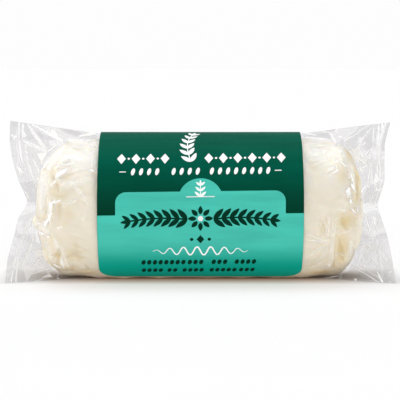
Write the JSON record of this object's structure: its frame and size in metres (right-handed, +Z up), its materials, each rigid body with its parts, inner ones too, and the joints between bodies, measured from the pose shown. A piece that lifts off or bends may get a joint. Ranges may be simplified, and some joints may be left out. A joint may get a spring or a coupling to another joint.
{
  "type": "goat cheese log",
  "caption": "Rounded log of fresh goat cheese lying in a clear, crumpled film bag with flared, flat-sealed ends and a green and teal wrap label round its middle.",
  "frame": {"origin": "bottom centre of the pack's outer box, on the surface that it lies on", "axes": "+X along the log, +Z up, -Y out of the label's front panel"},
  "size_m": [0.1036, 0.0402, 0.0424],
  "materials": {
    "film_bag": "clear glossy film over pale cream cheese, shown as one solid",
    "label": "satin printed film, dark green above and teal below",
    "cheese": "soft moist fresh cheese, pale cream with faint yellow patches",
    "clear_film": "thin clear plastic film, crumpled and glossy"
  },
  "bodies": {
    "root": {"film_bag": "film_bag", "label": "label"}
  },
  "joints": []
}
